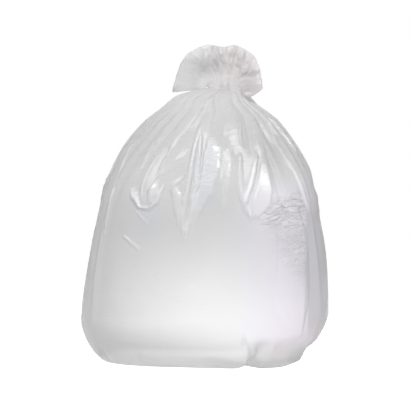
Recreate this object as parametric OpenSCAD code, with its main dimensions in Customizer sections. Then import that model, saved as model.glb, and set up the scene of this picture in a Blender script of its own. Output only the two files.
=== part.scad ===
// A filled bin bag of thin clear film, tied off with a knot in its own gathered neck.
// The bag is one blown tube with a sealed base. Its lower half is swollen and nearly smooth, its shoulders are
// drawn up into the neck in long folds, and the mouth stands above the knot as a crumpled tuft.
// The origin is the middle of the bag's box, on the floor, with the front towards -Y.

/* [Body] */
// Width of the filled bag at its widest
belly_w = 431; // [400:1:480]
// Depth of the filled bag at its deepest
belly_d = 312; // [280:1:350]
// Height of the widest part above the floor
belly_h = 83; // [70:1:120]
// Width where the sides turn in towards the neck
shoulder_w = 379; // [340:1:395]
// Depth where the sides turn in towards the neck
shoulder_d = 276; // [240:1:280]
// Height at which the sides turn in
shoulder_h = 281; // [250:1:300]
// Squareness of the body seen from above, where 2 is an ellipse
body_power = 2.6; // [2:0.1:3.2]
// How far the slack film wanders in and out of the plain outline
slack = 1.6; // [0:0.1:3]

/* [Base] */
// Width of the flat spot that the bag stands on
base_w = 326; // [280:1:350]
// Depth of the flat spot that the bag stands on
base_d = 214; // [180:1:240]
// Squareness of the flat spot
base_power = 3.2; // [2:0.1:4]
// How far the flat spot's front edge comes forward to the right, as a share of its width
base_skew = 0.16; // [0:0.01:0.25]
// How far the middle of the flat spot sits to the left
base_left = 14; // [0:1:18]
// Reach of the base seal's corner that sticks out at the right
ear_reach = 6; // [0:1:12]
// Height of that corner
ear_h = 12; // [8:1:18]

/* [Neck] */
// Height of the knot's middle above the floor
knot_h = 475; // [455:1:530]
// How far the knot sits to the right of the body's axis
knot_right = 37; // [0:1:50]
// How far the knot and the tuft lean to the right, in degrees
knot_lean = 6; // [0:1:10]
// Width of the gathered film beside the knot
neck_w = 56; // [44:1:64]
// Depth of the gathered film beside the knot
neck_d = 32; // [26:1:42]
// How much thicker the knot is than the film beside it
knot_swell = 3; // [0:1:8]
// Height of the pinched film that is wound into the knot
knot_l = 7; // [4:1:14]

/* [Tuft] */
// Height of the tuft above the knot's middle
tuft_h = 74; // [55:1:95]
// Reach of the tuft's left flap from the knot
tuft_left = 88; // [65:1:105]
// Reach of the tuft's right lobe from the knot
tuft_right = 66; // [50:1:85]
// Thickness of the tuft where it is fullest
tuft_d = 52; // [36:1:64]
// Thickness of the film's crumpled edge at the mouth
wall = 4; // [3:0.5:6]
// Depth of a ruffle at the mouth
ruffle_d = 4.5; // [0:0.5:8]
// How far the fan of film sways to the front and back on its way round
sway_d = 8; // [0:1:10]
// Size of the roll in the left flap's tip
curl = 12; // [0:1:18]

/* [Folds] */
// Depth of the long folds that run down from the neck
fold_d = 5; // [0:0.5:10]
// Depth of the gathers at the neck, as a share of the film's distance from the neck's axis
gather_share = 0.07; // [0:0.01:0.12]
// Depth of the sharp creases on the front, as a share of what the list of them says
crease_share = 1; // [0:0.1:1.5]
// Depth of the tucks round the foot
tuck_d = 6; // [0:0.5:9]
// Height of the notch in the foot's front edge, where the film of the base is gathered into a tuck
notch_h = 7; // [0:1:9]

/* [Hidden] */

film = [0.86, 0.88, 0.9, 0.75];

// The lines that the film folds along: azimuth at the fold's foot, azimuth at the neck, height of the foot, depth as
// a share of fold_d, and depth as a share of gather_share, where below 0 is a ridge. The four ridges are the edges
// of the side gussets. Azimuths turn anticlockwise from the right-hand side, so 270 is the front.
fold_lines = [
    [0, 2, 300, 0.8, 1.1],
    [16, 15, 330, 0.6, 0.9],
    [31, 30, 20, -0.5, -0.8],
    [50, 48, 262, 1.0, 1.3],
    [70, 73, 325, 0.7, 1.0],
    [90, 92, 225, 1.2, 1.5],
    [110, 108, 300, 0.8, 1.1],
    [129, 131, 250, 1.0, 1.3],
    [149, 151, 20, -0.5, -0.8],
    [165, 166, 320, 0.7, 0.9],
    [180, 181, 268, 0.9, 1.1],
    [196, 199, 325, 0.3, 0.5],
    [211, 216, 20, -0.5, -0.4],
    [226, 236, 268, 0.3, 0.5],
    [241, 256, 335, 0.4, 0.4],
    [262, 267, 205, 0.3, 0.7],
    [289, 295, 240, 0.4, 0.6],
    [311, 309, 290, 0.4, 0.4],
    [329, 321, 20, -0.6, -0.4],
    [346, 341, 318, 0.6, 0.7]
];
// Folds have their full depth where the film is further than this from the bag's axis
fold_reach = 110;
// The lines drift round from their foot's azimuth to their neck's above this height
drift_h = 200;

// The tucks round the foot: azimuth, height, width in degrees, share of tuck_d
foot_tucks = [
    [293, 58, 7, 1.2],
    [216, 46, 8, 0.8],
    [247, 36, 7, 0.6],
    [336, 62, 7, 0.9],
    [22, 52, 8, 0.9],
    [75, 44, 7, 0.7],
    [118, 60, 8, 1.0],
    [160, 48, 7, 0.8]
];
// The notch in the foot's front edge: azimuth, width in degrees, and how far up the heel it is still felt
notch_azimuth = 293;
notch_width = 5;
notch_fade = 40;
// The seal's corner: azimuth and width in degrees
ear_azimuth = 352;
ear_width = 5;

// A crease's section across its line, from its left edge at -1 to its right edge at 1: a tent is one ridge, a
// leaf is a flat strip between two ridges, and a facet is one flat slope
tent = [[-1, 0], [0, 1], [1, 0]];
leaf = [[-1, 0], [-0.7, 1], [-0.2, -0.1], [0.2, -0.1], [0.7, 1], [1, 0]];
facet = [[-1, 0], [-0.8, 1], [0.85, 0.35], [1, 0]];
// The sharp creases, as one would draw them on the front: height, how far the ridge is off the middle, section, and
// the points that it follows, each with its distance to the right, height above the floor and half width
front_creases = [
    [4, -0.4, tent, [[6, 452, 4], [-22, 411, 6], [-54, 373, 6], [-62, 356, 4]]],
    [6, 0, leaf, [[-7, 408, 3], [-14, 360, 10], [-21, 310, 12], [-29, 261, 11], [-33, 220, 3]]],
    [6, 0, facet, [[10, 383, 7], [13, 365, 15], [10, 335, 15], [-9, 277, 9], [-28, 230, 3]]],
    [4, 0, facet, [[35, 365, 5], [35, 343, 8], [33, 294, 6], [31, 266, 3]]],
    [5, -0.3, tent, [[60, 357, 4], [60, 311, 7], [71, 266, 6], [78, 253, 3]]],
    [5, 0.3, tent, [[87, 359, 4], [77, 310, 6], [64, 269, 3]]],
    [6, 0, facet, [[97, 351, 4], [100, 302, 14], [97, 277, 17], [94, 234, 4]]],
    [-4, 0, tent, [[102, 371, 4], [121, 310, 6], [138, 253, 4]]],
    [4.5, 0.3, tent, [[94, 435, 3], [120, 377, 6], [148, 332, 6], [168, 282, 6], [177, 260, 4]]],
    [4, 0, tent, [[-74, 361, 3], [-96, 326, 6], [-105, 285, 4]]],
    [4.5, 0, tent, [[-123, 301, 3], [-119, 286, 7], [-109, 272, 7], [-94, 269, 6], [-80, 280, 7], [-69, 307, 4]]],
    [3, -0.4, tent, [[-53, 305, 4], [-45, 286, 8], [-42, 239, 3]]],
    [6, 0.6, tent, [[150, 268, 12], [145, 240, 34], [144, 183, 40], [144, 133, 38], [150, 92, 26], [158, 60, 8]]],
    [-4, 0, tent, [[-176, 50, 6], [-133, 41, 10], [-7, 32, 10], [66, 35, 8]]],
    [-5, 0, tent, [[80, 44, 8], [118, 38, 12], [154, 44, 12], [182, 50, 6]]]
];

// The tuft's edge seen from the front: angle above the right-hand side, and reach as a share of a plain oval's
fan_edge = [
    [-20, 0.64], [-5, 0.82], [4, 0.98], [22, 1], [36, 1.06], [50, 1.12], [66, 1.07], [75, 1.06],
    [90, 0.93], [112, 0.98], [143, 1], [165, 0.965], [178, 0.98], [191, 1.06]
];

// Columns of points from one fold line to the next, on the front and elsewhere: a column's place counts fold lines
between_front = 9;
between_back = 4;
first_front = 11;
last_front = 18;
places = [
    for (k = [0:len(fold_lines) - 1])
        let (n = k >= first_front && k <= last_front ? between_front : between_back)
        for (i = [0:n - 1]) k + i / n
];
around = len(places);
// Rings of points up the heel, side, shoulder, knot, tuft and mouth
heel_rings = 6;
side_rings = 10;
shoulder_rings = 17;
knot_rings = 3;
tuft_rings = 9;
mouth_rings = 4;

// Where the film leaves the body for the neck, and the neck for the tuft
collar_h = knot_h - knot_l / 2;
tuft_foot_h = knot_h + knot_l / 2;

// The heel swells from the flat spot to the belly, the sides leave it upright and turn in more and more, and the
// shoulders rise flat from the collar and fall steeply at the sides
heel_power = 0.8;
side_power = 1.3;
shoulder_rise = 2.1;
shoulder_round = 0.75;
// The body's axis leans a little to the right, and leans more in the last stretch under the knot
lean_low = 16;
lean_power = 4.5;
// Just below the knot the axis bends back to the left, by this much, at this share of the collar's height, over this
// length
lean_back = 9;
lean_back_at = 0.957;
lean_back_h = 14;

// The fan of film above the knot runs from the right lobe's droop, over the top, to the left flap's edge
fan_right = -20;
fan_left = 191;
// The right lobe droops in front of the shoulder
lobe_forward = 34;
// The mouth's hollow runs from just inside the tuft's edge down to its foot, as shares of the tuft's reach
mouth_edge = 0.95;
mouth_foot = 0.35;
// The hollow's ends lie this many degrees inside the fan's edges
mouth_lip = 3;

function smooth(x) = let (t = min(max(x, 0), 1)) t * t * (3 - 2 * t);
function mix(a, b, t) = a * (1 - t) + b * t;
function turn(a, b) = let (d = (a - b) % 360) d > 180 ? d - 360 : d < -180 ? d + 360 : d;
function signed_power(x, p) = sign(x) * pow(abs(x), p);
function zigzag(x) = asin(sin(x)) / 90;
function bump(x) = exp(-x * x);
function sum(v, i = 0) = i < len(v) ? v[i] + sum(v, i + 1) : 0;

// How far up the shoulders a height is: 0 where they begin, 1 at the collar
function up_shoulder(z) = max(z - shoulder_h, 0) / (collar_h - shoulder_h);

// Half the bag's width or depth at a height, from its sizes at the foot, belly, shoulder and neck
function half_size(z, foot, belly, shoulder, neck) =
    let (side = mix(belly, shoulder, pow(max(z - belly_h, 0) / (shoulder_h - belly_h), side_power)))
    z < belly_h ? mix(foot, belly, pow(sin(90 * z / belly_h), heel_power)) / 2
    : mix(neck, side, pow(1 - pow(up_shoulder(z), shoulder_rise), shoulder_round)) / 2;

// How far the body's axis has moved to the right at a height
function lean(z) =
    let (u = min(z / collar_h, 1))
    lean_low * u + (knot_right - lean_low) * pow(u, lean_power)
    - lean_back * bump((z - lean_back_at * collar_h) / lean_back_h) - base_left * (1 - min(z / belly_h, 1));

// The shoulders, knot and tuft slope down to the right about the knot
function slope(p, share) = p - [0, 0, tan(knot_lean) * share * (p[0] - knot_right)];

// A column's azimuth at the foot or the neck follows the fold lines on both sides of it
function fold_line(k) = let (n = len(fold_lines), l = fold_lines[k % n]) k < n ? l : l + [360, 360, 0, 0, 0];
function azimuth(c, end) = mix(fold_line(floor(c))[end], fold_line(floor(c) + 1)[end], c - floor(c));

// A crease's section from its line, at 0, to the next line, at 1: a sharp valley with a lip beside it
function crease(e) = cos(400 * e) * bump(2 * e);

// The depth of one fold at its line: it grows from its foot, and turns into a gather near the neck
function line_depth(l, z, radius) =
    let (
        along = (z - l[2]) / (collar_h - l[2]),
        fold = fold_d * min(radius / fold_reach, 1) * smooth(along * 3),
        gather = gather_share * radius * smooth(up_shoulder(z) * 1.4 - 0.4)
    )
    along < 0 ? 0 : l[3] * fold + l[4] * gather;

// A column lies on or between two fold lines, and takes in both
function folds(c, z, radius) =
    let (k = floor(c), e = c - k)
    line_depth(fold_line(k), z, radius) * crease(e) + line_depth(fold_line(k + 1), z, radius) * crease(1 - e);

function foot_tuck(a, z, t) =
    let (offset = turn(a, t[0]) / t[2], height = smooth((t[1] - z) / t[1] * 2) * smooth(z / 8))
    z > t[1] ? 0 : t[3] * height * cos(180 * offset) * bump(offset);

function tucks(a, z) = tuck_d * sum([for (t = foot_tucks) foot_tuck(a, z, t)]);

// The film of the foot's front edge is lifted off the floor in the notch
function notch(a, z) = notch_h * bump(turn(a, notch_azimuth) / notch_width) * (1 - smooth(z / notch_fade));

// The film's slack shows between the foot and the collar
function wander(a, z) =
    slack * smooth(z / 60) * smooth((collar_h - z) / 80) * (sin(3 * a + 0.7 * z + 40) + sin(5 * a - 1.1 * z));

function ear(a, z) =
    z > ear_h * 2 ? 0 : ear_reach * bump(turn(a, ear_azimuth) / ear_width) * bump(2 * z / ear_h - 1);

function body_point(c, z) =
    let (
        a = mix(azimuth(c, 0), azimuth(c, 1), smooth((z - drift_h) / (collar_h - drift_h))),
        low = 1 - smooth(z / belly_h),
        power = mix(mix(body_power, base_power, low), 2, smooth(up_shoulder(z) * 1.5)),
        across = half_size(z, base_w, belly_w, shoulder_w, neck_w),
        deep = half_size(z, base_d, belly_d, shoulder_d, neck_d),
        plain = [across * signed_power(cos(a), 2 / power), deep * signed_power(sin(a), 2 / power)],
        radius = norm(plain),
        out = radius - folds(c, z, radius) - tucks(a, z) + ear(a, z) + wander(a, z),
        p = plain * out / radius
    )
    slope([p[0] + lean(z), p[1] - base_skew * low * p[0], z + notch(a, z)], smooth(up_shoulder(z)));

// How far a point on the front, seen as [x, z], lies from one stretch of a crease: distance, distance with the side
// as its sign, and the crease's half width there
function beside(q, a, b) =
    let (
        start = [a[0], a[1]],
        way = [b[0], b[1]] - start,
        t = min(max((q - start) * way / (way * way), 0), 1),
        rest = q - start - way * t
    )
    [norm(rest), norm(rest) * sign(cross(way, rest)), mix(a[2], b[2], t)];

// How far one crease lifts the film at a point near it
function lift(q, c) =
    let (
        all = [for (i = [0:len(c[3]) - 2]) beside(q, c[3][i], c[3][i + 1])],
        least = min([for (s = all) s[0]]),
        s = [for (s = all) if (s[0] <= least) s][0],
        share = min(max(s[1] / s[2], -1), 1),
        bent = share < c[1] ? (share - c[1]) / (1 + c[1]) : (share - c[1]) / (1 - c[1])
    )
    c[0] * min(s[2] / widest(c) * 1.3, 1) * lookup(bent, c[2]);

function widest(c) = max([for (l = c[3]) l[2]]);

// Whether a point lies within a crease's reach along one direction: 0 to the right, 1 up
function within(q, c, side) =
    let (all = [for (l = c[3]) l[side]])
    q[side] > min(all) - widest(c) && q[side] < max(all) + widest(c);

// The body's front with its sharp creases pressed in, which fade out at the floor
function creased(p) =
    let (
        q = [p[0], p[2]],
        total = sum([for (c = front_creases) if (p[1] < 0 && within(q, c, 0) && within(q, c, 1)) lift(q, c)]),
        out = [p[0] - lean(p[2]), p[1], 0]
    )
    p + out / norm(out) * crease_share * total * smooth(p[2] / 20);

// The knot is the neck wound round itself: three strands run round it on a slant
function knot_point(i, t) =
    let (
        c = places[i],
        a = mix(azimuth(c, 1), 360 * i / around, t),
        k = floor(c),
        e = c - k,
        gather = gather_share * (fold_line(k)[4] * crease(e) + fold_line(k + 1)[4] * crease(1 - e)),
        swell = sin(180 * t),
        narrow = 1 - 0.2 * swell * abs(sin(3 * a / 2 + 150 * t)) - gather * pow(1 - swell, 2),
        size = [neck_w, neck_d] + [knot_swell, knot_swell] * swell,
        p = [size[0] * cos(a), size[1] * sin(a)] / 2 * narrow
    )
    slope([knot_right + p[0], p[1], mix(collar_h, tuft_foot_h, t)], 1);

// The tuft opens from the knot as a fan. Its columns run over the back from right to left, and return on the
// front. A lip draws them in from the fan's two edges.
function fan_angle(a, lip) =
    mix(fan_right, fan_left, a <= 180 ? a / 180 : (360 - a) / 180) + lip * pow(cos(a), 7);

function fan_reach(v) =
    let (side = cos(v) > 0 ? tuft_right : tuft_left)
    lookup(v, fan_edge) / norm([cos(v) / side, sin(v) / tuft_h]);

// How far the fan's middle stands to the front or back: crisp ruffles, which are weak on the left flap and end at
// the fan's edges
function ruffle(v, s) =
    let (
        inside = sin(180 * (v - fan_right) / (fan_left - fan_right)),
        waves = zigzag(12.5 * v + 60 * sin(3 * v) + 90 * s * sin(1.7 * v)) + 0.5 * zigzag(24 * v + 200 * s),
        sway = sin(2.1 * v + 30) + 0.62 * sin(4.7 * v + 80 * s)
    )
    ruffle_d * pow(s, 0.9) * mix(1, 0.2, smooth((v - 120) / 30)) * sqrt(max(inside, 0)) * waves
    + sway_d * s * smooth((v + 10) / 30) * sway;

// Half the fan's thickness, with clumps where the film lies close together, pleats that differ between the front and
// the back, and a roll in the left tip
function half_depth(a, v, s) =
    let (
        full = tuft_d / 2 * mix(0.75, 1, smooth(s * 2)) * mix(1, 0.72, smooth((v - 120) / 60)),
        clump = mix(1, 0.62 + 0.38 * sin(3.4 * v + 20), smooth(s * 1.5)),
        pleat = 0.1 * zigzag(12 * v + (a <= 180 ? 0 : 150) + 300 * s) * smooth(s * 3),
        roll = curl * bump((v - 186) / 5) * bump((s - 0.94) / 0.07) * abs(sin(2 * a))
    )
    full * clump * pow(abs(sin(a)), 0.7) * (1 + pleat) + roll;

// A point on the tuft, at a share of the way to the mouth, on the film's outside or, with a lip, on its inside. The
// right lobe and the left flap leave the knot level, and bend down further out.
function tuft_point(a, s, lip) =
    let (
        level = fan_angle(a, lip),
        low = level < 0 ? level : max(level - 180, 0),
        v = level - low * (1 - smooth(2 * s)),
        outer = half_depth(a, v, s),
        half = lip == 0 ? outer : max(outer - wall, outer * 0.3),
        start = neck_w / 2 * mix(1, 0.75, abs(sin(v))),
        out = start + (fan_reach(v) - start) * s,
        droop = lobe_forward * smooth((20 - v) / 40) * smooth(s * 3),
        fan = [out * cos(v), (a <= 180 ? half : -half) + ruffle(v, s) - droop, out * sin(v)],
        neck = [neck_w / 2 * cos(a), neck_d / 2 * sin(a), tuft_foot_h - knot_h]
    )
    slope(mix(neck, fan, smooth(s * 5)) + [knot_right, 0, knot_h], 1);

// Ring heights: closer towards the floor, the shoulder's creases and the collar
heights = concat(
    [for (i = [0:heel_rings - 1]) belly_h * pow(i / heel_rings, 1.3)],
    [for (i = [0:side_rings - 1]) mix(belly_h, shoulder_h, 1 - pow(1 - i / side_rings, 1.6))],
    [for (i = [0:shoulder_rings - 1]) mix(shoulder_h, collar_h, 1 - pow(1 - i / shoulder_rings, 1.5))]
);
// Rings up the tuft's outside and down its inside: share of the way to the mouth, and lip
tuft_places = concat(
    [for (i = [0:tuft_rings]) [i / tuft_rings, 0]],
    [for (i = [0:mouth_rings]) [mix(mouth_edge, mouth_foot, i / mouth_rings), mouth_lip]]
);

columns = [0:around - 1];
body_rings = [for (z = heights) [for (c = places) body_point(c, z)]];
upper_rings = concat(
    [for (i = [0:knot_rings - 1]) [for (c = columns) knot_point(c, i / knot_rings)]],
    [for (t = tuft_places) [for (c = columns) tuft_point(360 * c / around, t[0], t[1])]]
);

// The rings moved so that the middle of the bag's box is at the origin
all_x = [for (ring = concat(body_rings, upper_rings), p = ring) p[0]];
all_y = [for (ring = concat(body_rings, upper_rings), p = ring) p[1]];
middle = [min(all_x) + max(all_x), min(all_y) + max(all_y), 0] / 2;
rings = concat(
    [for (ring = body_rings) [for (p = ring) creased(p - middle)]],
    [for (ring = upper_rings) [for (p = ring) p - middle]]
);

// One closed skin through all the rings: the base round its middle, the sides, and the foot of the mouth's hollow
// zipped shut
module skin(rings) {
    n = len(rings[0]);
    last = (len(rings) - 1) * n;
    points = [for (ring = rings) each ring];
    centre = len(points);
    base = [for (i = [0:n - 1]) [i, (i + 1) % n, centre]];
    sides = [
        for (k = [0:len(rings) - 2], i = [0:n - 1])
            let (p = k * n + i, q = k * n + (i + 1) % n, before_middle = places[i] % 1 < 0.5)
            each before_middle ? [[p, p + n, q + n], [p, q + n, q]] : [[p, p + n, q], [q, p + n, q + n]]
    ];
    foot = [
        for (i = [0:n / 2 - 1])
            let (a = last + i, b = last + i + 1, c = last + (n - i) % n, d = last + n - i - 1)
            each concat(i > 0 ? [[a, c, b]] : [], i < n / 2 - 1 ? [[c, d, b]] : [])
    ];
    polyhedron(concat(points, [[0, 0, 0]]), concat(base, sides, foot), convexity = 8);
}

module bag() {
    color(film) skin(rings);
}

bag();
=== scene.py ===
# %% [markdown]
# # A filled bin bag of clear film
# The real bag is one tube of thin polyethylene film, sealed across its base, filled, and tied off with a
# knot in its own neck. The CAD solid holds its size and its main folds. Here the same tube is made again
# on a much finer net, so that sharp creases, crinkles and the crumpled tuft can be shown, and it gets a
# milky, see-through finish.

# %% Libraries and the frame
import math

import bpy
import numpy as np
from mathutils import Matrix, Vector
from mathutils.bvhtree import BVHTree


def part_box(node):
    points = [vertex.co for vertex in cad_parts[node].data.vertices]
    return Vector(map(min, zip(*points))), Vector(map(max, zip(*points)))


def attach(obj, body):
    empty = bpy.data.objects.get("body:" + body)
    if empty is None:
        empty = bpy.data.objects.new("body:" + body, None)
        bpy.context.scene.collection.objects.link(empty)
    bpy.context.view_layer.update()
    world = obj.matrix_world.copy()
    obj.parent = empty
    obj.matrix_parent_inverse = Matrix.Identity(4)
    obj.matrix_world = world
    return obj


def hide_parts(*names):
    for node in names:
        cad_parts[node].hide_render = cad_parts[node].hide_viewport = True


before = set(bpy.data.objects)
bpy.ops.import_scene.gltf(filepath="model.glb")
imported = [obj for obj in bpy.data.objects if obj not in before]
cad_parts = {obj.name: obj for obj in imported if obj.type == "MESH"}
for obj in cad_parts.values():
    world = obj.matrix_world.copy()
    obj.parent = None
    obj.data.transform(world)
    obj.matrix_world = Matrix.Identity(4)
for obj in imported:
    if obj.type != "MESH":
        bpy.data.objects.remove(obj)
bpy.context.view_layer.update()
low, high = (Vector(corner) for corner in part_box("bag"))
print("bag from the frame, in metres:", [round(size, 3) for size in high - low])

# %% [markdown]
# ## The sizes of the bag
# Lengths are in millimetres, as on a drawing, and are turned into metres once, when the mesh is made. The
# main ones follow from the box of the CAD solid, so the fine bag and the solid keep the same size.

# %% Sizes
MM = 0.001
width, depth, height = (side / MM for side in high - low)
belly_w, belly_d, belly_h = 0.997 * width, 0.997 * depth, 0.1515 * height
shoulder_w, shoulder_d, shoulder_h = 0.877 * width, 0.882 * depth, 0.5128 * height
base_w, base_d, base_left, base_skew = 0.754 * width, 0.684 * depth, 14, 0.16
body_power, base_power = 2.6, 3.2
knot_h, knot_l, knot_right, knot_lean = 0.8668 * height, 7, 37, math.radians(6)
neck_w, neck_d, knot_swell = 56, 32, 3
collar_h, tuft_foot_h = knot_h - knot_l / 2, knot_h + knot_l / 2
tuft_h, tuft_left, tuft_right, tuft_d = 74, 88, 66, 52
fan_right, fan_left = -20, 191
shoulder_lean, neck_jog = 16, 9
print("the collar is", round(collar_h), "mm up, and the knot's middle", round(knot_h), "mm")


# %% [markdown]
# ## Small helpers for curves
# A film's outline has no straight lines, so it is put together from a few simple curves: a smooth step
# from 0 to 1, a blend of two values, a bump, and a zigzag, which is what a crisp pleat looks like from
# its end. They take whole arrays, so that one call places thousands of points.

# %% Curves
def smooth(x):
    t = np.clip(x, 0, 1)
    return t * t * (3 - 2 * t)


def mix(a, b, t):
    return a * (1 - t) + b * t


def bump(x):
    return np.exp(-x * x)


def zigzag(degrees):
    return np.arcsin(np.sin(np.radians(degrees))) / (np.pi / 2)


def sin_deg(degrees):
    return np.sin(np.radians(degrees))


def signed_power(x, p):
    return np.sign(x) * np.abs(x) ** p


# %% [markdown]
# ## The body's outline
# Seen from the front the bag is a swollen heel, sides that lean in a little, and shoulders that run up to
# the knot. Seen from above it is a rounded rectangle, because the tube has a side gusset, and it turns
# into an ellipse at the neck. Both are kept as formulas, so a ring of film can be drawn at any height.

# %% Outline
def up_shoulder(z):
    return np.maximum(z - shoulder_h, 0) / (collar_h - shoulder_h)


def half_size(z, foot, belly, shoulder, neck):
    """Half of the bag's width or depth at height z, from its sizes at four heights."""
    side = mix(belly, shoulder, (np.maximum(z - belly_h, 0) / (shoulder_h - belly_h)) ** 1.3)
    heel = mix(foot, belly, np.sin(np.pi / 2 * np.clip(z / belly_h, 0, 1)) ** 0.8)
    above = mix(neck, side, np.clip(1 - up_shoulder(z) ** 2.1, 0, 1) ** 0.75)
    return np.where(z < belly_h, heel, above) / 2


def lean(z):
    """How far the middle of the ring at height z is to the right."""
    u = np.minimum(z / collar_h, 1)
    bent = shoulder_lean * u + (knot_right - shoulder_lean) * u**4.5
    jog = neck_jog * bump((z - 0.957 * collar_h) / 14)
    return bent - jog - base_left * (1 - np.minimum(z / belly_h, 1))


def slope(p, share):
    """Points p lowered at the right of the knot and raised at its left, by a share of the knot's slope."""
    p[..., 2] -= math.tan(knot_lean) * share * (p[..., 0] - knot_right)
    return p


# %% [markdown]
# ## The long folds
# A tube that is wider than its neck has film to spare, and it puts it away in folds that run down from
# the knot. Each row is one line that the film folds along: its azimuth at the foot and at the neck, the
# height of its foot, its depth on the body and its depth where it is gathered, and a depth below 0 is a
# ridge. The four ridges are the edges of the side gussets.

# %% Fold lines
fold_lines = np.array([
    (0, 2, 300, 0.8, 1.1), (16, 15, 330, 0.6, 0.9),
    (31, 30, 20, -0.5, -0.8), (50, 48, 262, 1.0, 1.3),
    (70, 73, 325, 0.7, 1.0), (90, 92, 225, 1.2, 1.5),
    (110, 108, 300, 0.8, 1.1), (129, 131, 250, 1.0, 1.3),
    (149, 151, 20, -0.5, -0.8), (165, 166, 320, 0.7, 0.9),
    (180, 181, 268, 0.9, 1.1), (196, 199, 325, 0.3, 0.5),
    (211, 216, 20, -0.5, -0.4), (226, 236, 268, 0.3, 0.5),
    (241, 256, 335, 0.4, 0.4), (262, 267, 205, 0.3, 0.7),
    (289, 295, 240, 0.4, 0.6), (311, 309, 290, 0.4, 0.4),
    (329, 321, 20, -0.6, -0.4), (346, 341, 318, 0.6, 0.7),
])
lines = len(fold_lines)
fold_d, gather_share, turn_from, full_radius = 4.5, 0.06, 200, 110
crease_at = [0, 0.16, 0.3, 0.45, 0.62, 0.8, 1]
crease_depth = [1, 0.2, -0.42, -0.4, -0.12, -0.04, 0]


def crease(e):
    """A fold's profile: deep at its own line (e = 0), raised beside it, flat at the next line (e = 1)."""
    return np.interp(np.abs(e), crease_at, crease_depth)


def beside(c):
    """The fold lines on both sides of columns c, and how far each column is from the first to the second."""
    k = np.floor(c * lines).astype(int)
    first, second = fold_lines[k % lines], fold_lines[(k + 1) % lines].copy()
    second[..., :2] += np.where(k + 1 >= lines, 360, 0)[..., None]
    return first, second, c * lines - k


def azimuth(c, end):
    """Where columns c stand round the bag, in degrees: at the foot with end 0 and at the neck with end 1."""
    first, second, e = beside(c)
    return mix(first[..., end], second[..., end], e)


def line_depth(line, z, radius):
    """How deep a fold line is at height z. Folds are shallower where the bag is thin."""
    along = (z - line[..., 2]) / (collar_h - line[..., 2])
    fold = line[..., 3] * fold_d * np.minimum(radius / full_radius, 1) * smooth(along * 3)
    gather = line[..., 4] * gather_share * radius * smooth(up_shoulder(z) * 1.4 - 0.4)
    return np.where(along < 0, 0, fold + gather)


def folds(c, z, radius):
    first, second, e = beside(c)
    return line_depth(first, z, radius) * crease(e) + line_depth(second, z, radius) * crease(1 - e)


print(lines, "fold lines round the bag")

# %% [markdown]
# ## The foot
# The weight of the bag presses its base flat. The film that is left over stands round the foot in short
# tucks, the corner of the base seal sticks out at the right, and a notch lifts the edge of the base in
# front. Higher up, the right side is a little hollow.

# %% Foot
foot_tucks = [(293, 58, 7, 1.2), (216, 46, 8, 0.8), (247, 36, 7, 0.6), (336, 62, 7, 0.9), (22, 52, 8, 0.9),
              (75, 44, 7, 0.7), (118, 60, 8, 1.0), (160, 48, 7, 0.8)]
tuck_d, slack = 5, 1.6


def turn(a, b):
    """The angle from b to a, in degrees, between -180 and 180."""
    return (a - b + 180) % 360 - 180


def tucks(a, z):
    total = np.zeros_like(z)
    for middle, top, wide, share in foot_tucks:
        offset = turn(a, middle) / wide
        tall = smooth((top - z) / top * 2) * smooth(z / 8)
        total += share * tall * np.cos(np.pi * offset) * bump(offset)
    return tuck_d * total


def wander(a, z):
    """Slow waves in the slack film, so that the body isn't perfectly even."""
    fade = smooth(z / 60) * smooth((collar_h - z) / 80)
    return slack * fade * (sin_deg(3 * a + 0.7 * z + 40) + sin_deg(5 * a - 1.1 * z))


def notch(a, z):
    """How far the edge of the base is lifted in front."""
    return 7 * bump(turn(a, 293) / 5) * (1 - smooth(z / 40))


def ear(a, z):
    """How far the corner of the base seal stands out, and the dent above it."""
    return 6 * bump(turn(a, 352) / 5) * bump(z / 6 - 1) - 8 * bump(turn(a, 346) / 16) * bump((z - 29) / 9)


def hollow(a, z):
    """How far the right side stands out, which is less than 0 above the belly."""
    return -4 * bump(turn(a, 0) / 25) * (bump((z - 302) / 22) + 0.6 * bump((z - 250) / 35))


# %% Body, knot and tuft as points
def body_point(c, z):
    a = mix(azimuth(c, 0), azimuth(c, 1), smooth((z - turn_from) / (collar_h - turn_from)))
    low_down = 1 - smooth(z / belly_h)
    power = mix(mix(body_power, base_power, low_down), 2, smooth(up_shoulder(z) * 1.5))
    across = half_size(z, base_w, belly_w, shoulder_w, neck_w)
    deep = half_size(z, base_d, belly_d, shoulder_d, neck_d)
    x = across * signed_power(np.cos(np.radians(a)), 2 / power)
    y = deep * signed_power(sin_deg(a), 2 / power)
    radius = np.hypot(x, y)
    out = (radius - folds(c, z, radius) - tucks(a, z) + ear(a, z) + hollow(a, z) + wander(a, z)) / radius
    x, y = x * out, y * out
    p = np.stack([x + lean(z), y - base_skew * low_down * x, z + notch(a, z)], -1)
    return slope(p, smooth(up_shoulder(z)))


def knot_point(c, t):
    a = mix(azimuth(c, 1), 360 * c, t)
    first, second, e = beside(c)
    gather = gather_share * (first[..., 4] * crease(e) + second[..., 4] * crease(1 - e))
    swell = sin_deg(180 * t)
    narrow = 1 - 0.2 * swell * np.abs(sin_deg(1.5 * a + 150 * t) * sin_deg(a)) - gather * (1 - swell) ** 2
    narrow += 0.12 * swell * np.cos(np.radians(a)) ** 2
    x = (neck_w + knot_swell * swell) * np.cos(np.radians(a)) / 2 * narrow
    y = (neck_d + knot_swell * swell) * sin_deg(a) / 2 * narrow
    p = np.stack([knot_right + x, y, mix(collar_h, tuft_foot_h, t)], -1)
    return slope(p, 1)


fan_edge = np.array([(-20, 0.64), (-5, 0.82), (4, 0.98), (22, 1.0), (36, 1.06), (50, 1.12), (66, 1.07),
                     (75, 1.06), (90, 0.93), (112, 0.98), (143, 1.0), (165, 0.965), (178, 0.98), (191, 1.06)])


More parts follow.
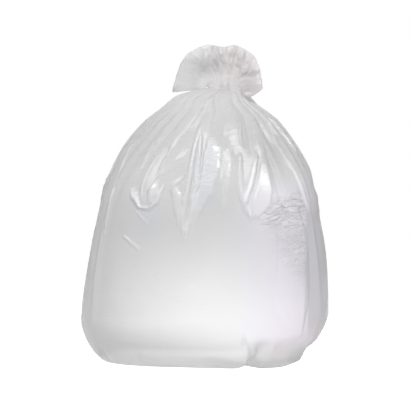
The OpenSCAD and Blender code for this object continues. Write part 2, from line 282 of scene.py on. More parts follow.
def fan_reach(v):
    """How far the tuft reaches from the knot in direction v, in degrees from the right."""
    side = np.where(np.cos(np.radians(v)) > 0, tuft_right, tuft_left)
    oval = 1 / np.hypot(np.cos(np.radians(v)) / side, sin_deg(v) / tuft_h)
    return np.interp(v, fan_edge[:, 0], fan_edge[:, 1]) * oval


def ruffle(v, s):
    """How far both films of the tuft sway back, in direction v at share s of the way to its edge."""
    inside = np.maximum(sin_deg(180 * (v - fan_right) / (fan_left - fan_right)), 0)
    waves = zigzag(12.5 * v + 60 * sin_deg(3 * v) + 90 * s * sin_deg(1.7 * v))
    waves = waves + 0.5 * zigzag(24 * v + 200 * s) + 0.2 * zigzag(53 * v - 120 * s + 60 * sin_deg(5 * v))
    sway = 5 * sin_deg(2.1 * v + 30) + 3 * sin_deg(4.7 * v + 80 * s)
    strength = mix(1, 0.2, smooth((v - 120) / 30)) * mix(0.5, 1, smooth((v - 20) / 30))
    return 4.5 * s**0.9 * strength * np.sqrt(inside) * waves + s * smooth((v + 10) / 30) * sway


def half_depth(a, v, s):
    """Half of the tuft's depth from front to back, with its pleats and the roll at its left tip."""
    full = tuft_d / 2 * mix(0.75, 1, smooth(s * 2)) * mix(1, 0.72, smooth((v - 120) / 60))
    clump = mix(1, 0.68 + 0.32 * sin_deg(3.4 * v + 20), smooth(s * 1.5))
    back = a <= 180
    pleat = 0.10 * zigzag(12 * v + np.where(back, 0, 150) + 300 * s)
    pleat = pleat + 0.04 * zigzag(31 * v + np.where(back, 70, 0) - 200 * s)
    roll = 12 * bump((v - 186) / 5) * bump((s - 0.94) / 0.07) * np.abs(sin_deg(2 * a))
    pleat = pleat * smooth(s * 3) * mix(1, 0.3, smooth((v - 125) / 30))
    return full * clump * np.abs(sin_deg(a)) ** 0.7 * (1 + pleat) + roll


def tuft_point(c, s, inner, wall=1.2):
    """A point of the tuft's film or, with inner, of the pocket in it, a wall's thickness further in."""
    a = 360 * c
    level = mix(fan_right, fan_left, np.where(a <= 180, a, 360 - a) / 180)
    level = level + (1.2 * np.cos(np.radians(a)) ** 7 if inner else 0)
    v = np.where(level < 0, level * smooth(0.5 + 2 * s), level)
    half = half_depth(a, v, s)
    half = np.maximum(half - wall, half * 0.3) if inner else half
    start = neck_w / 2 * mix(1, 0.75, np.abs(sin_deg(v)))
    out = start + (fan_reach(v) - start) * s
    droop = 34 * smooth((20 - v) / 40) * smooth(s * 3)
    y = np.where(a <= 180, half, -half) + ruffle(v, s) - droop
    fan = np.stack([out * np.cos(np.radians(v)), y, out * sin_deg(v)], -1)
    neck = np.stack([neck_w / 2 * np.cos(np.radians(a)), neck_d / 2 * sin_deg(a),
                     np.full_like(v, tuft_foot_h - knot_h)], -1)
    p = mix(neck, fan, smooth(s * 5)[..., None]) + np.array([knot_right, 0, knot_h])
    return slope(p, 1)


# %% [markdown]
# ## The film's net
# The film is a net of columns, which run up from the base to the mouth, and rings, which run round. A net
# that follows the film's own directions bends along its creases instead of across them. Rings are closer
# together near the floor and at the neck, where the film turns quickly, and columns are closer together
# on the front.

# %% Net
columns = 480
heel_rings, side_rings, shoulder_rings, knot_rings, tuft_rings, pocket_rings = 13, 82, 70, 5, 24, 9
even = np.arange(columns) / columns
steps = np.arange(2001) / 2000
front_at, front_share, crowding = 0.75, 0.18, 1.9
crowd = np.cumsum(1 + crowding * bump((steps - front_at) / front_share))
crowded = np.interp(even, (crowd - crowd[0]) / (crowd[-1] - crowd[0]), steps)
heel = belly_h * (np.arange(heel_rings) / heel_rings) ** 1.3
side = mix(belly_h, shoulder_h, 1 - (1 - np.arange(side_rings) / side_rings) ** 1.3)
shoulder = mix(shoulder_h, collar_h, 1 - (1 - np.arange(shoulder_rings) / shoulder_rings) ** 1.35)
body_heights = np.concatenate([heel, side, shoulder])
rings = [body_point(crowded, np.full(columns, z)) for z in body_heights]
rings += [knot_point(mix(crowded, even, t), np.full(columns, t)) for t in np.arange(knot_rings) / knot_rings]
rings += [tuft_point(even, np.full(columns, s), False) for s in np.linspace(0, 1, tuft_rings)]
rings += [tuft_point(even, np.full(columns, s), True) for s in np.linspace(0.985, 0.3, pocket_rings)]
base_rings = [rings[0] * (share, share, 1) for share in np.linspace(0.15, 0.9, 5)]
rings = np.array(base_rings + rings)
first_knot = len(base_rings) + len(body_heights)
mouth = first_knot + knot_rings + tuft_rings
net = rings.reshape(-1, 3)
rings -= np.append((net.min(0) + net.max(0))[:2] / 2, 0)
print(len(rings), "rings of", columns, "points")


# %% [markdown]
# ## From the net to a mesh
# Each square between two rings and two columns becomes one face. The base closes with a fan of triangles,
# and the bottom of the pocket in the tuft closes like a zip, from one edge to the other.

# %% Mesh
def net_points(rings):
    """The points of all rings, and last the middle of the base."""
    return np.vstack([rings.reshape(-1, 3), rings[0].mean(0)])


def film_mesh(rings, name):
    count, n = rings.shape[:2]
    points = net_points(rings)
    k, i = np.meshgrid(np.arange(count - 1), np.arange(n), indexing="ij")
    j = (i + 1) % n
    quads = np.stack([k * n + i, k * n + j, (k + 1) * n + j, (k + 1) * n + i], -1).reshape(-1, 4).tolist()
    fan = [(len(points) - 1, (a + 1) % n, a) for a in range(n)]
    last = (count - 1) * n
    zipped = [(last + a, last + a + 1, last + n - a - 1, last + n - a) for a in range(1, n // 2 - 1)]
    zipped += [(last, last + 1, last + n - 1), (last + n // 2 - 1, last + n // 2, last + n // 2 + 1)]
    mesh = bpy.data.meshes.new(name)
    mesh.from_pydata((points * MM).tolist(), [], quads + fan + zipped)
    mesh.shade_smooth()
    return mesh


mesh = film_mesh(rings, "bag_film")
print(len(mesh.vertices), "points and", len(mesh.polygons), "faces")

# %% [markdown]
# ## The sharp creases
# Film that is bent too far creases: it gets a small, sharp ridge or a flat facet that catches the light.
# Each row below is one of those, as one would draw it on the front of the bag: its height in millimetres,
# how far its ridge is off the middle, how white the film turns there, which is partly a painted highlight,
# its profile, and a line of points (x, z, half width) that it follows. A ray from the front finds where
# each point lies on the film.

# %% Creases on the front
TENT = [(-1, 0), (0, 1), (1, 0)]
LEAF = [(-1, 0), (-0.78, 0.9), (-0.28, 1), (-0.06, -0.1), (0.12, -0.1), (0.32, 1), (0.78, 0.8), (1, 0)]
FACET = [(-1, 0), (-0.8, 1), (0.85, 0.35), (1, 0)]
PATCH = [(-1, 0), (-0.75, 0.8), (0.75, 1), (1, 0)]
front_creases = [
    (4.2, -0.4, 1.0, TENT, [(6, 452, 2), (-9, 430, 3), (-22, 411, 3.6), (-39, 393, 3.8), (-54, 373, 3.8),
                            (-62, 356, 2.6)]),
    (5, 0, 1.0, LEAF, [(-7, 408, 1.7), (-10, 385, 6.7), (-14, 360, 9.2), (-17, 335, 10.9), (-21, 310, 11.7),
                       (-25, 285, 11.7), (-29, 261, 10), (-33, 239, 6.7), (-33, 220, 1.7)]),
    (6, 0, 1.0, FACET, [(10, 383, 7), (13, 365, 15), (10, 335, 15), (1, 302, 11), (-9, 277, 8), (-20, 249, 5),
                        (-28, 230, 1.7)]),
    (2.6, 0, 0.5, FACET, [(35, 365, 5), (35, 343, 7.5), (34, 319, 6.7), (33, 294, 5), (31, 266, 2.5)]),
    (2.5, 0, 0.6, TENT, [(61, 413, 1.7), (59, 396, 3.6), (62, 373, 2)]),
    (5, -0.3, 0.9, TENT, [(60, 357, 3.6), (59, 335, 5), (60, 311, 6), (64, 286, 6.5), (71, 266, 5.5),
                          (78, 253, 2.5)]),
    (5, 0.3, 0.9, TENT, [(87, 359, 3.3), (83, 335, 5), (77, 310, 5), (69, 286, 4), (64, 269, 1.7)]),
    (6, 0, 1.0, FACET, [(97, 351, 4), (99, 327, 9), (99, 302, 15), (94, 282, 17), (86, 266, 10),
                        (78, 252, 3)]),
    (-4.5, 0, 0, TENT, [(102, 371, 4), (112, 343, 8), (121, 310, 10), (131, 280, 8), (138, 253, 3)]),
    (4.5, 0.3, 1.0, TENT, [(94, 435, 2), (108, 401, 3.6), (120, 377, 3.8), (133, 354, 4.2), (148, 332, 4.6),
                           (160, 305, 5), (168, 282, 4.2), (177, 260, 2.5)]),
    (3.6, 0, 0.9, TENT, [(109, 423, 2.5), (127, 404, 5), (144, 382, 5), (157, 363, 3.6), (164, 353, 1.7)]),
    (6, 0.6, 0, TENT, [(150, 268, 12), (145, 240, 34), (144, 183, 40), (144, 133, 38), (150, 92, 26),
                       (158, 60, 8)]),
    (3, 0, 0.8, TENT, [(-117, 384, 2.2), (-129, 367, 3.2), (-140, 341, 3.6), (-149, 316, 3.6),
                       (-157, 291, 3.6), (-164, 258, 3.2), (-169, 224, 1.7)]),
    (4, -0.3, 1.0, TENT, [(-74, 361, 1.7), (-86, 345, 3.4), (-96, 326, 4), (-104, 306, 4), (-105, 285, 2.5)]),
    (4.6, 0, 1.0, TENT, [(-123, 301, 2.5), (-119, 286, 5), (-109, 272, 5), (-94, 269, 4), (-80, 280, 5),
                         (-74, 295, 5), (-69, 307, 2.5)]),
    (4, 0, 1.0, PATCH, [(-82, 308, 6), (-86, 296, 10), (-90, 284, 6)]),
    (3, 0, 1.0, PATCH, [(-121, 301, 3), (-117, 290, 6), (-111, 280, 3)]),
    (1.5, 0, 0.5, TENT, [(-114, 264, 1.6), (-105, 254, 2.6), (-95, 246, 1.6)]),
    (2.4, 0, 0.7, TENT, [(-135, 223, 1.8), (-122, 212, 3), (-109, 202, 1.8)]),
    (2.4, 0, 0.7, TENT, [(-58, 302, 2.5), (-47, 312, 5), (-35, 322, 2.5)]),
    (3, 0, 0.8, PATCH, [(-53, 308, 4), (-46, 288, 8), (-43, 261, 6), (-42, 239, 1.7)]),
    (2, 0, 0.6, TENT, [(-88, 379, 1.7), (-96, 362, 2.8), (-106, 341, 1.7)]),
    (2, 0, 0.6, TENT, [(-66, 355, 1.7), (-74, 338, 2.8), (-80, 322, 1.7)]),
    (-2.5, 0, 0, TENT, [(-176, 46, 4), (-133, 36, 9), (-74, 31, 11), (-7, 29, 11), (40, 31, 10),
                        (66, 34, 6)]),
    (-5, 0, 0, TENT, [(74, 42, 5), (95, 40, 12), (122, 38, 14), (154, 44, 12), (182, 50, 5)]),
    (5, 0, 0, TENT, [(84, 20, 5), (110, 17, 12), (135, 18, 12), (160, 26, 6)]),
    (-7, 0, 0, TENT, [(77, 4, 7), (74, 22, 7), (66, 44, 5), (64, 54, 3)]),
]
print(len(front_creases), "creases drawn on the front")

# %% [markdown]
# ## Pressing the creases into the film
# The distance from each point of the film to the crease's line, measured across it, says where the point
# is on the crease's profile, and the film moves in or out by that much. The same function serves the
# sides and the back, where creases of the same kind are dealt out by a seeded random generator.


# %% Pressing
def point_normals(mesh):
    values = np.empty(len(mesh.vertices) * 3, np.float32)
    mesh.vertex_normals.foreach_get("vector", values)
    return values.reshape(-1, 3).astype(float)


# Points are measured this near the box round a crease's line, and stay in place when they are far off it.
near_by, far_off = 25, 60


def press(points, normals, line, widths, height, ridge_at, profile):
    """How far each point moves along its normal, in millimetres, for one crease, and how white it turns,
    which is partly a painted highlight.
    """
    best = np.full(len(points), np.inf)
    offset, wide = np.zeros(len(points)), np.ones(len(points))
    near = np.flatnonzero(((points > line.min(0) - near_by) & (points < line.max(0) + near_by)).all(1))
    p, out = points[near], normals[near]
    for a, b, wa, wb in zip(line[:-1], line[1:], widths[:-1], widths[1:]):
        along = b - a
        t = np.clip((p - a) @ along / (along @ along), 0, 1)
        rest = p - (a + t[:, None] * along)
        distance = np.linalg.norm(rest, axis=1)
        sign = np.sign(np.einsum("ij,ij->i", np.cross(out, along), rest))
        closer = distance < best[near]
        chosen = near[closer]
        best[chosen] = distance[closer]
        offset[chosen] = (sign * distance)[closer]
        wide[chosen] = mix(wa, wb, t)[closer]
    share = np.clip(offset / wide, -1, 1)
    share = (share - ridge_at) / np.where(share < ridge_at, 1 + ridge_at, 1 - ridge_at)
    places, levels = np.array(profile).T
    shape = np.where(best < far_off, np.interp(share, places, levels), 0)
    taper = np.minimum(wide / max(widths) * 1.3, 1)
    return height * taper * shape, np.clip(shape * 2.5, 0, 1) * np.minimum(taper * 1.5, 1)


def on_front(skin, x, z):
    """The point of the film that one sees at x and z from the front."""
    hit = skin.ray_cast(Vector((x, -1000, z)) * MM, Vector((0, 1, 0)))[0]
    return np.array(hit) / MM


points = net_points(rings)
normals = point_normals(mesh)
skin = BVHTree.FromPolygons([tuple(v.co) for v in mesh.vertices], [tuple(f.vertices) for f in mesh.polygons])
moved, whitening_and_highlight = np.zeros((2, len(points)))
for tall, ridge_at, glow, profile, line in front_creases:
    way = np.array([on_front(skin, x, z) for x, z, _ in line])
    move, edge = press(points, normals, way, [w for *_, w in line], tall, ridge_at, profile)
    moved += move
    # whitening along the crease, partly a painted highlight
    whitening_and_highlight = np.maximum(whitening_and_highlight, glow * edge)
print("pressed", len(front_creases), "creases, up to", round(np.abs(moved).max(), 1), "mm")

# %% Creases on the sides and the back
rng = np.random.default_rng(8)
wanted, dealt, lowest = 64, 0, 60
while dealt < wanted:
    start, top = rng.uniform(-10, 190), rng.uniform(200, 440)
    long, bend = rng.uniform(35, 150) * (0.6 + 0.4 * (top > 300)), rng.uniform(-6, 6)
    wide, tall = rng.uniform(3, 9), rng.choice([-1, 1], p=[0.3, 0.7]) * rng.uniform(1.2, 3.6)
    steps = np.linspace(0, 1, 6)
    heights = top - long * steps
    azimuths = start + bend * np.sin(np.pi * steps) + rng.uniform(-8, 8) * steps
    if heights[-1] < lowest:
        continue
    nearest_columns = np.abs(crowded[:, None] - (azimuths % 360) / 360).argmin(0)
    nearest_rings = len(base_rings) + np.abs(body_heights[:, None] - heights).argmin(0)
    way = rings[nearest_rings, nearest_columns]
    widths = wide * np.maximum(np.sin(np.pi * (0.08 + 0.84 * steps)), 0.2)
    move, edge = press(points, normals, way, list(widths), tall, rng.uniform(-0.6, 0.6), TENT)
    moved += move
    # faint whitening on the raised creases, partly a painted highlight
    whitening_and_highlight = np.maximum(whitening_and_highlight, 0.15 * edge * (tall > 0))
    dealt += 1
print("dealt", dealt, "more creases round the sides and the back")

# %% Film with its creases
share = np.zeros(len(points))
share[len(base_rings) * columns:first_knot * columns] = np.repeat(smooth((body_heights - 2) / 10), columns)
points = points + normals * (moved * share)[:, None]
x, y, z = points.T
for pinch_right in (-6, 5):
    # y is a view into points, so this presses two pleats into the front of the knot
    y += 7 * (y < 0) * bump((x - knot_right - pinch_right) / 2.6) * bump((z - knot_h) / 7)
mesh.vertices.foreach_set("co", (points * MM).ravel())
mesh.update()
print("box", np.ptp(points, 0).round(1), "mm, CAD", [round(v, 1) for v in (width, depth, height)])

# %% [markdown]
# ## Where the film differs
# Numbers on the points of the mesh say where the film is crinkled, crumpled, gathered or creased.
# A colour on them holds its faint tints and painted shade: the sides turned from the light, the places
# under folds, the knot and the foot are painted darker, and parts of the crinkled panel lighter. These
# are mostly sums of soft patches.
# Crumples are turned round in the tuft's pocket, so that both sides of the film move together.

# %% Masks, tints and painted shade
def patch(right, half_width, up, half_height):
    """1 in the middle of a patch, placed and sized in millimetres, and less and less round it."""
    return bump((x - right) / half_width) * bump((z - up) / half_height)


facing = y < 0
front_edge = 176
corner = smooth((front_edge - x) / 8)
panel = smooth((x + 0.6 * z - 217) / 60) * smooth((z - 100) / 60) * smooth((240 + 0.45 * x - z) / 28) * facing
panel = panel * corner * (1 - whitening_and_highlight)
# a painted highlight: a soft patch of the crinkled panel at the right is whitened where it should catch the
# light
whitening_and_highlight = np.maximum(whitening_and_highlight, 0.52 * facing * patch(128, 44, 272, 36) * corner)
crinkled = np.clip(panel + 0.2 * smooth((z - 250) / 120), 0, 1)
ring = np.arange(len(points)) / columns
pocket = (ring >= mouth) & (ring < len(rings))
rim = bump((ring - mouth + 0.5) / 1.6)
crumpled = np.where(pocket, -1, 1) * smooth((z - knot_h - 8) / 22) * mix(0.15, 1, smooth((x + 30) / 35))
crumpled = crumpled * (1 - 0.8 * rim)
gathered = smooth((z - knot_h + 70) / 90)

violet = smooth((x - 30) / 90) * smooth((z - 10) / 50) * smooth((345 - z) / 60)
teal = facing * (0.7 * patch(2, 20, 315, 50) + 0.8 * patch(-95, 25, 245, 35) + 0.6 * patch(45, 20, 230, 40))
pink = gathered * smooth((x + 15) / 45) + 0.9 * smooth((x - 80) / 60) * smooth((130 - z) / 60)
tint = 1 + np.outer(violet, (-0.01, -0.04, 0.05)) + np.outer(teal, (-0.05, -0.02, 0.04))
tint += np.outer(pink, (0.02, -0.03, -0.02))

# painted shade: the right side past the gusset edge, which turns away from the light, is darker
painted_shade = 1.4 * smooth((x - 171) / 3) * smooth((z - 40) / 40) * smooth((290 - z) / 40)
# painted shade on the left side, which turns away from the light
painted_shade += 0.3 * patch(-150, 35, 270, 70) + 0.25 * patch(-112, 40, 236, 35)
# painted shade on the upper right of the shoulders, and painted light in a patch below it
painted_shade += 1.3 * patch(113, 26, 365, 50) + 0.6 * patch(60, 35, 390, 45) - 0.7 * patch(110, 45, 275, 32)
# painted shadow on the right lobe of the foot, under the fold above it
painted_shade += 1.3 * smooth((x - 66) / 10) * smooth((54 - z) / 22)
# painted light on the crinkled panel, painted shade at the knot's pinch and darker film at the foot
painted_shade = painted_shade * facing - 0.45 * panel + 1.1 * patch(knot_right, 45, knot_h, 16) + smooth((40 - z) / 30)
# the painted shade as a brightness factor: lighter where it is below 0, but no more than 1.12
light = np.minimum(1 - 0.22 * painted_shade, 1.12 - 0.1 * whitening_and_highlight)
tint = np.hstack([tint * light[:, None], np.ones((len(points), 1))])
mesh.attributes.new("tint", "FLOAT_COLOR", "POINT").data.foreach_set("color", tint.astype(np.float32).ravel())
masks = {"crinkled": crinkled, "crumpled": crumpled, "gathered": gathered, "creased": whitening_and_highlight}
for name, values in masks.items():
    mesh.attributes.new(name, "FLOAT", "POINT").data.foreach_set("value", values.astype(np.float32))
film = bpy.data.objects.new("bag_film", mesh)
bpy.context.scene.collection.objects.link(film)
print("masks on the film:", ", ".join(masks))


# %% [markdown]
# ## Shader maths in plain Python
# A material is a graph of nodes. This class wraps one output of a node, so that `0.5 + 0.3 * noise` adds
# the Math nodes by itself. Its method `node` makes any other node: first its settings, then the values or
# wires of its inputs.

# %% Wires
class Wire:
    def __init__(self, tree, socket=None):
        self.tree, self.socket = tree, socket

    def node(self, kind, settings=None, inputs=None, output=0):
        made = self.tree.nodes.new(kind)
        for name, value in (settings or {}).items():
            setattr(made, name, value)
        for name, value in (inputs or {}).items():
            if isinstance(value, Wire):
                self.tree.links.new(value.socket, made.inputs[name])
            else:
                made.inputs[name].default_value = value
        return Wire(self.tree, made.outputs[output] if len(made.outputs) else None)

    def maths(self, operation, *values):
        return self.node("ShaderNodeMath", {"operation": operation}, dict(enumerate(values)))

    def __add__(self, other):
        return self.maths("ADD", self, other)

    def __radd__(self, other):
        return self.maths("ADD", other, self)

    def __sub__(self, other):
        return self.maths("SUBTRACT", self, other)

    def __rsub__(self, other):
        return self.maths("SUBTRACT", other, self)

    def __mul__(self, other):
        return self.maths("MULTIPLY", self, other)

    def __rmul__(self, other):
        return self.maths("MULTIPLY", other, self)

    def __truediv__(self, other):
        return self.maths("DIVIDE", self, other)

    def __rtruediv__(self, other):
        return self.maths("DIVIDE", other, self)

    def clamp(self):
        return self.maths("MINIMUM", self.maths("MAXIMUM", self, 0), 1)


print("wires ready")

# %% [markdown]
# ## Wrinkles by Geometry Nodes
# The finer wrinkles follow a rule instead of a drawing, so a Geometry Nodes tree makes them. It moves the
# film along its normal by three patterns: broad undulations, the fine crinkles of film that is pulled
# tight on one side, and the crumpled cells of the tuft. Attributes on the mesh say where each of them
# works, and the undulations fade out at the floor.

# %% Wrinkle tree
def wrinkle_tree():
    tree = bpy.data.node_groups.new("wrinkled_film", "GeometryNodeTree")
    tree.interface.new_socket("Geometry", in_out="INPUT", socket_type="NodeSocketGeometry")
    for name, value in (("Wave depth", 0.0016), ("Wave size", 0.055),
                        ("Crinkle depth", 0.0032), ("Crinkle size", 0.013),
                        ("Crumple depth", 0.0045), ("Crumple size", 0.013), ("Seed", 3.0)):
        socket = tree.interface.new_socket(name, in_out="INPUT", socket_type="NodeSocketFloat")
        socket.default_value = value
    tree.interface.new_socket("Material", in_out="INPUT", socket_type="NodeSocketMaterial")
    tree.interface.new_socket("Geometry", in_out="OUTPUT", socket_type="NodeSocketGeometry")
    start = Wire(tree)
    group = start.node("NodeGroupInput").socket.node
    take = {socket.name: Wire(tree, socket) for socket in group.outputs if socket.name}
    place = start.node("GeometryNodeInputPosition")

    def noise(size, stretch, detail):
        at = start.node("ShaderNodeVectorMath", {"operation": "MULTIPLY"}, {0: place, 1: stretch})
        return start.node("ShaderNodeTexNoise", {"noise_dimensions": "4D"}, {
            "Vector": at, "W": take["Seed"], "Scale": 1 / size, "Detail": detail, "Roughness": 0.55}) * 2 - 1

    def mask(name):
        return start.node("GeometryNodeInputNamedAttribute", {"data_type": "FLOAT"}, {"Name": name})

    waves = noise(take["Wave size"], (1, 1, 0.8), 1) * take["Wave depth"]
    crinkles = noise(take["Crinkle size"], (0.9, 0.9, 2), 2) * take["Crinkle depth"] * mask("crinkled")
    cells = start.node("ShaderNodeTexVoronoi", {"feature": "DISTANCE_TO_EDGE"}, {
        "Vector": place, "Scale": 1 / take["Crumple size"], "Randomness": 1.0})
    pillow = (cells * 2.5).clamp()
    crumples = (pillow - 0.5) * take["Crumple depth"] * mask("crumpled")
    height = start.node("ShaderNodeSeparateXYZ", inputs={0: place}, output="Z")
    off_floor = (height * 60).clamp()
    outwards = start.maths("SIGN", mask("crumpled") + 0.001)
    shift = (waves * off_floor + crinkles) * outwards + crumples
    normal = start.node("GeometryNodeInputNormal")
    offset = start.node("ShaderNodeVectorMath", {"operation": "SCALE"}, {0: normal, "Scale": shift})
    moved = start.node("GeometryNodeSetPosition", inputs={"Geometry": take["Geometry"], "Offset": offset})
    real = start.node("GeometryNodeRealizeInstances", inputs={"Geometry": moved})
    done = start.node("GeometryNodeSetMaterial", inputs={"Geometry": real, "Material": take["Material"]})
    start.node("NodeGroupOutput", inputs={"Geometry": done})
    return tree


# %% [markdown]
# ## The finish of the film
# Polyethylene film with a little white in it lets some light straight through, scatters some of it
# forwards and some back, and mirrors the lamps in its smooth skin. So the shader mixes a Principled BSDF,
# which is partly see-through and has a sharp coat over a softer gloss, with a Translucent BSDF. Very fine
# crinkles are only bump, because a mesh would need millions of faces for them. Film turns whiter where it
# is creased or crinkled, which is partly its own whitening and partly a painted highlight, and the crinkle
# valleys get a little painted shade. The gathered tuft is whiter, partly for its layers of film and partly
# as painted light on its shaded folds. A colour attribute on the points holds the faint colours and the
# painted shade of the folded film.

# %% Film finish
def grey(level):
    """A colour with alpha 1."""
    return (level, level, level, 1)


def attribute(tree, name, output="Fac"):
    return tree.node("ShaderNodeAttribute", {"attribute_name": name}, output=output)


def blend(tree, share, first, second, **settings):
    """The first colour with a share of the second. Settings such as the blend type come by name."""
    return tree.node("ShaderNodeMix", {"data_type": "RGBA", **settings},
                     {0: share, 6: first, 7: second}, output=2)


finish = bpy.data.materials.new("milky_film")
finish.use_nodes = True
finish.node_tree.nodes.clear()
tree = Wire(finish.node_tree)
panel, gathered, creased, crumpled = [attribute(tree, name)
                                      for name in ("crinkled", "gathered", "creased", "crumpled")]
place = tree.node("ShaderNodeTexCoord", output="Object")
slanted = tree.node("ShaderNodeMapping", {"vector_type": "TEXTURE"}, {
    "Vector": place, "Rotation": (0, -0.28, 0), "Scale": (1, 1, 0.3)})
fine = tree.node("ShaderNodeTexNoise", inputs={"Vector": slanted, "Scale": 46, "Detail": 2, "Roughness": 0.5})
ridges = (1 - 10 * tree.maths("ABSOLUTE", fine - 0.5)).clamp()
cells = tree.node("ShaderNodeTexVoronoi", {"feature": "DISTANCE_TO_EDGE"}, {
    "Vector": place, "Scale": 77, "Randomness": 1.0})
seams = (1 - 7 * cells).clamp() * tree.maths("ABSOLUTE", crumpled)
dent = tree.node("ShaderNodeBump", inputs={
    "Height": ridges * (0.04 + panel) + 0.65 * seams, "Distance": 0.0042, "Strength": 0.8})

# whiter where the film is gathered in the tuft: partly its many layers, partly painted light on its shaded
# folds
colour = blend(tree, gathered, (0.835, 0.833, 0.837, 1), (0.99, 0.988, 0.99, 1))
# lighter crinkle ridges on the panel: partly whitened film, partly a painted highlight
colour = blend(tree, (1.2 * (ridges * panel)).clamp(), colour, grey(0.88))
# whiter creases: partly whitened film, partly a painted highlight
colour = blend(tree, creased, colour, (0.98, 0.98, 0.99, 1))
# the points' faint tints and their painted shade and light multiply the colour
tint = attribute(tree, "tint", "Color")
colour = blend(tree, 1.0, colour, tint, blend_type="MULTIPLY", clamp_result=True)
# painted shade in the crinkle valleys of the panel
colour = blend(tree, 0.05 * (panel * (1 - ridges)), colour, grey(0))
plastic = tree.node("ShaderNodeBsdfPrincipled", inputs={
    "Base Color": colour, "Roughness": 0.24, "IOR": 1.55, "Normal": dent,
    "Alpha": 0.75 + 0.25 * creased - 0.17 * gathered,
    "Coat Weight": 0.8, "Coat Roughness": 0.09, "Coat IOR": 1.6})
through = tree.node("ShaderNodeBsdfTranslucent", inputs={"Color": grey(0.9)})
milky = tree.node("ShaderNodeMixShader", inputs={0: 0.32 - 0.17 * creased, 1: plastic, 2: through})
tree.node("ShaderNodeOutputMaterial", inputs={"Surface": milky})
print("film finish:", len(finish.node_tree.nodes), "nodes")


# %% Wrinkling the film
def through_nodes(piece, tree, **values):
    """The piece's mesh after the tree, as a plain mesh. A keyword names an input, with _ for a space."""
    modifier = piece.modifiers.new(tree.name, "NODES")
    modifier.node_group = tree
    for item in tree.interface.items_tree:
        key = item.name.replace(" ", "_").lower()
        if item.in_out == "INPUT" and key in values:
            modifier[item.identifier] = values[key]
    graph = bpy.context.evaluated_depsgraph_get()
    result = bpy.data.meshes.new_from_object(
        piece.evaluated_get(graph), preserve_all_data_layers=True, depsgraph=graph)
    piece.modifiers.remove(modifier)
    return result


film.data = through_nodes(film, wrinkle_tree(), material=finish)
print("wrinkled film:", len(film.data.polygons), "faces,", [m.name for m in film.data.materials])

# %% [markdown]
# ## Floor and background
# The bag stands on white paper before a white wall. Paper that is lit is never quite white in a render,
# so the floor and the world glow by themselves, but only for the camera and for what is mirrored or seen
# through the film. What is mirrored meets a world that is bright overhead and dim at the sides, so the
# film darkens towards its edges. The world also lights everything a little, and the floor still takes the
# shadow of the bag.

# %% Floor and world
corners = [(-3, -3, 0), (3, -3, 0), (3, 3, 0), (-3, 3, 0)]
floor_mesh = bpy.data.meshes.new("floor")
floor_mesh.from_pydata(corners, [], [(0, 1, 2, 3)])
floor = bpy.data.objects.new("floor", floor_mesh)
bpy.context.scene.collection.objects.link(floor)


def ray_kinds(tree):
    """Two wires: 1 for rays from the camera or through the film, and 1 for mirrored rays."""
    camera, mirrored, through = [tree.node("ShaderNodeLightPath", output=kind)
                                 for kind in ("Is Camera Ray", "Is Glossy Ray", "Is Transmission Ray")]
    return (camera + through).clamp(), mirrored


paper = bpy.data.materials.new("white_paper")
paper.use_nodes = True
paper.node_tree.nodes.clear()
tree = Wire(paper.node_tree)
matt = tree.node("ShaderNodeBsdfDiffuse", inputs={"Color": grey(0.5)})
seen, mirrored = ray_kinds(tree)
glow = tree.node("ShaderNodeEmission", inputs={"Strength": seen * 0.93 + mirrored * 0.45})
both = tree.node("ShaderNodeAddShader", inputs={0: matt, 1: glow})
tree.node("ShaderNodeOutputMaterial", inputs={"Surface": both})
floor_mesh.materials.append(paper)

studio = bpy.data.worlds.new("studio")
bpy.context.scene.world = studio
studio.use_nodes = True
studio.node_tree.nodes.clear()
tree = Wire(studio.node_tree)
seen, mirrored = ray_kinds(tree)
direction = tree.node("ShaderNodeTexCoord", output="Generated")
up = tree.node("ShaderNodeSeparateXYZ", inputs={0: direction}, output="Z")
sky = (up * 1.6 + 0.25).clamp()
wall = tree.node("ShaderNodeBackground", inputs={
    "Color": grey(1), "Strength": 0.17 + 0.83 * seen + 0.75 * (mirrored * sky)})
tree.node("ShaderNodeOutputWorld", inputs={"Surface": wall})
print("white floor and background")


# %% [markdown]
# ## Lamps
# One soft box in front lights the film. Three more, at the right, at the left and behind, are only seen
# as gloss on it. A soft spot low in front, flattened to an oval, gives the film the pale glow above its
# foot. A narrow spot behind the bag shines through the tuft, and another rakes over the crinkled film at
# the right.

# %% Lamps
def lamp(name, kind, place, aim, watts, **settings):
    light = bpy.data.lights.new(name, kind)
    light.energy = watts
    for setting, value in settings.items():
        setattr(light, setting, value)
    holder = bpy.data.objects.new(name, light)
    holder.location = place
    holder.rotation_euler = (Vector(aim) - Vector(place)).to_track_quat("-Z", "Y").to_euler()
    holder.visible_camera = False
    bpy.context.scene.collection.objects.link(holder)
    return holder


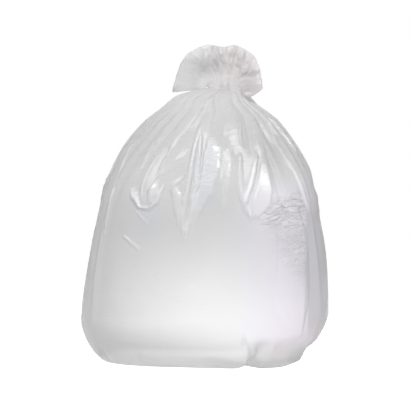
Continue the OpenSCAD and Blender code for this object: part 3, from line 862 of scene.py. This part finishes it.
box, bag_middle = {"shape": "RECTANGLE"}, (0, 0, 0.33)
front = lamp("front_softbox", "AREA", (-0.1, -1.75, 1.5), (0, 0, 0.3), 26, **box, size=0.8, size_y=0.6)
right = lamp("right_softbox", "AREA", (0.95, -1.3, 2.0), bag_middle, 20, **box, size=0.8, size_y=1.4)
left = lamp("left_softbox", "AREA", (-1.25, -1.15, 1.9), bag_middle, 12, **box, size=0.5, size_y=1.3)
behind = lamp("behind_softbox", "AREA", (0.5, 1.5, 2.4), bag_middle, 9, **box, size=0.7, size_y=0.7)
for softbox in (right, left, behind):
    softbox.visible_diffuse = softbox.visible_transmission = False
low_spot = lamp("low_spot", "SPOT", (0.06, -1.3, 0.25), (0.058, -0.15, 0.073), 52,
                spot_size=math.radians(29), spot_blend=1, shadow_soft_size=0.1)
low_spot.scale = (1, 0.42, 1)
back_spot = lamp("back_spot", "SPOT", (0.25, 1.2, 1.1), (0.035, 0, 0.51), 54,
                 spot_size=math.radians(12), spot_blend=1, shadow_soft_size=0.1)
raking_spot = lamp("raking_spot", "SPOT", (0.9, -0.95, 1.0), (0.145, -0.13, 0.262), 24,
                   spot_size=math.radians(9), spot_blend=1, shadow_soft_size=0.05)
for plain in (front, low_spot, back_spot, raking_spot):
    plain.visible_glossy = False
print("four soft boxes and three spots")

# %% [markdown]
# ## Camera
# A long lens from a little above the bag's middle, as in a catalogue. The picture's colours are shown as
# they are.

# %% Camera
camera = bpy.data.cameras.new("camera")
camera.sensor_width, camera.lens = 36, 130.5
eye = bpy.data.objects.new("camera", camera)
bpy.context.scene.collection.objects.link(eye)
aim = Vector((0.0005, 0, 0.270))
distance, tilt = 2.6, math.radians(2.5)
eye.location = aim + distance * Vector((0, -math.cos(tilt), math.sin(tilt)))
eye.rotation_euler = (aim - eye.location).to_track_quat("-Z", "Y").to_euler()
bpy.context.scene.camera = eye
bpy.context.scene.view_settings.view_transform = "Standard"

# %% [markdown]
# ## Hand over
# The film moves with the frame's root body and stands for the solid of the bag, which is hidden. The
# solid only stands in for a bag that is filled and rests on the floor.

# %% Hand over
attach(film, "root")
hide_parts("bag")
